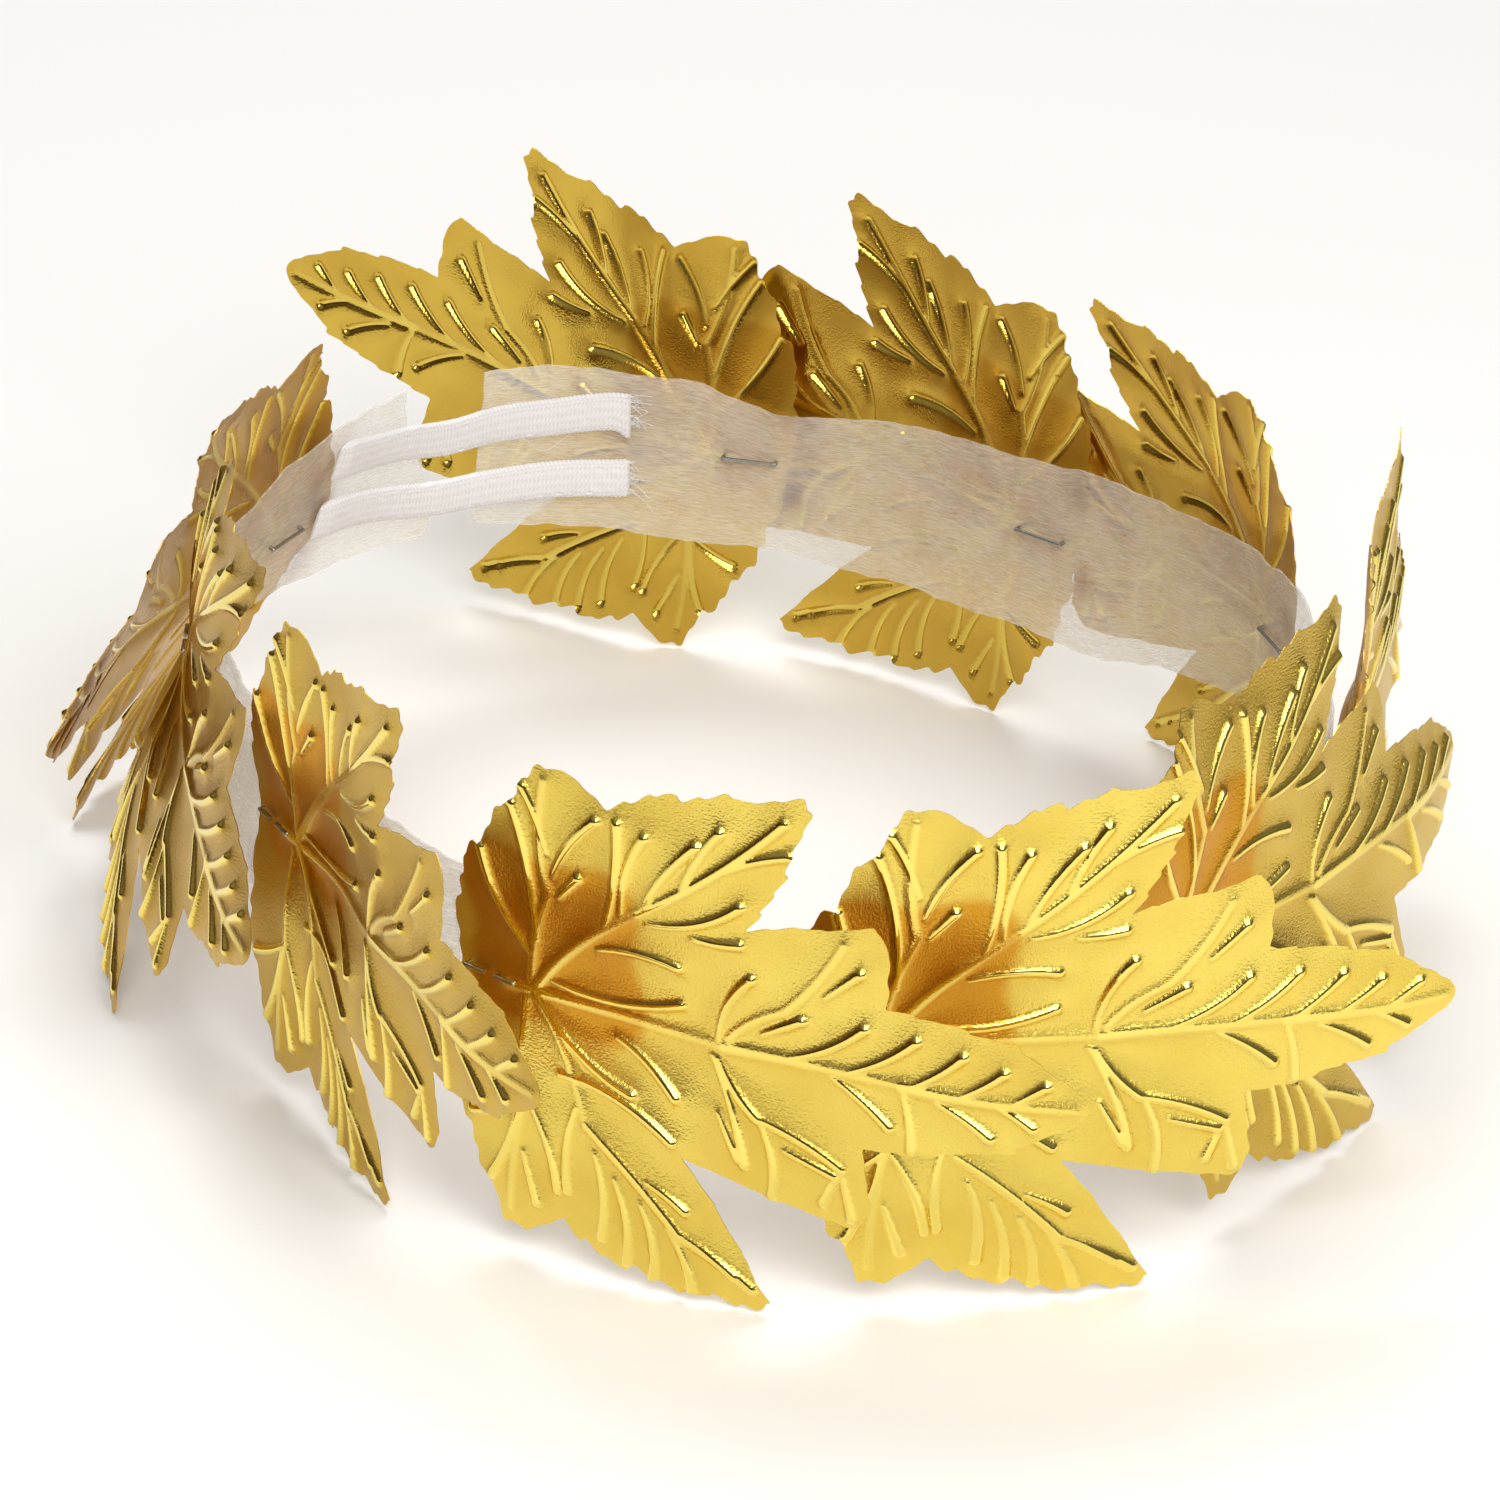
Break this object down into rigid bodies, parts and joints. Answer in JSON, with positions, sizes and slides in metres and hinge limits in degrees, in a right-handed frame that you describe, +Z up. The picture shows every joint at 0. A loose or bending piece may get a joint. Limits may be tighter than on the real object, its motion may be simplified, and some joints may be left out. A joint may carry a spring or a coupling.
{
  "type": "laurel wreath crown",
  "caption": "Open costume crown: an oval ring of overlapping five-lobed gold foil leaves stapled to a soft fabric band that elastic straps close behind the head.",
  "frame": {"origin": "centre of the oval ring, on the surface that the crown lies on", "axes": "+Z up through the ring, -Y towards the brow, +Y towards the straps at the back of the head"},
  "size_m": [0.2226, 0.2925, 0.0847],
  "materials": {
    "gold_foil": "satin embossed metallised foil",
    "nonwoven": "translucent spun non-woven",
    "elastic": "knitted elastic",
    "staple_wire": "drawn wire"
  },
  "bodies": {
    "root": {"band": "nonwoven", "leaf_01": "gold_foil", "leaf_02": "gold_foil", "leaf_03": "gold_foil", "leaf_04": "gold_foil", "leaf_05": "gold_foil", "leaf_06": "gold_foil", "leaf_07": "gold_foil", "leaf_08": "gold_foil", "leaf_09": "gold_foil", "leaf_10": "gold_foil", "staple_01": "staple_wire", "staple_02": "staple_wire", "staple_03": "staple_wire", "staple_04": "staple_wire", "staple_05": "staple_wire", "staple_06": "staple_wire", "staple_07": "staple_wire", "staple_08": "staple_wire", "staple_09": "staple_wire", "staple_10": "staple_wire", "upper_strap": "elastic", "lower_strap": "elastic"}
  },
  "joints": []
}
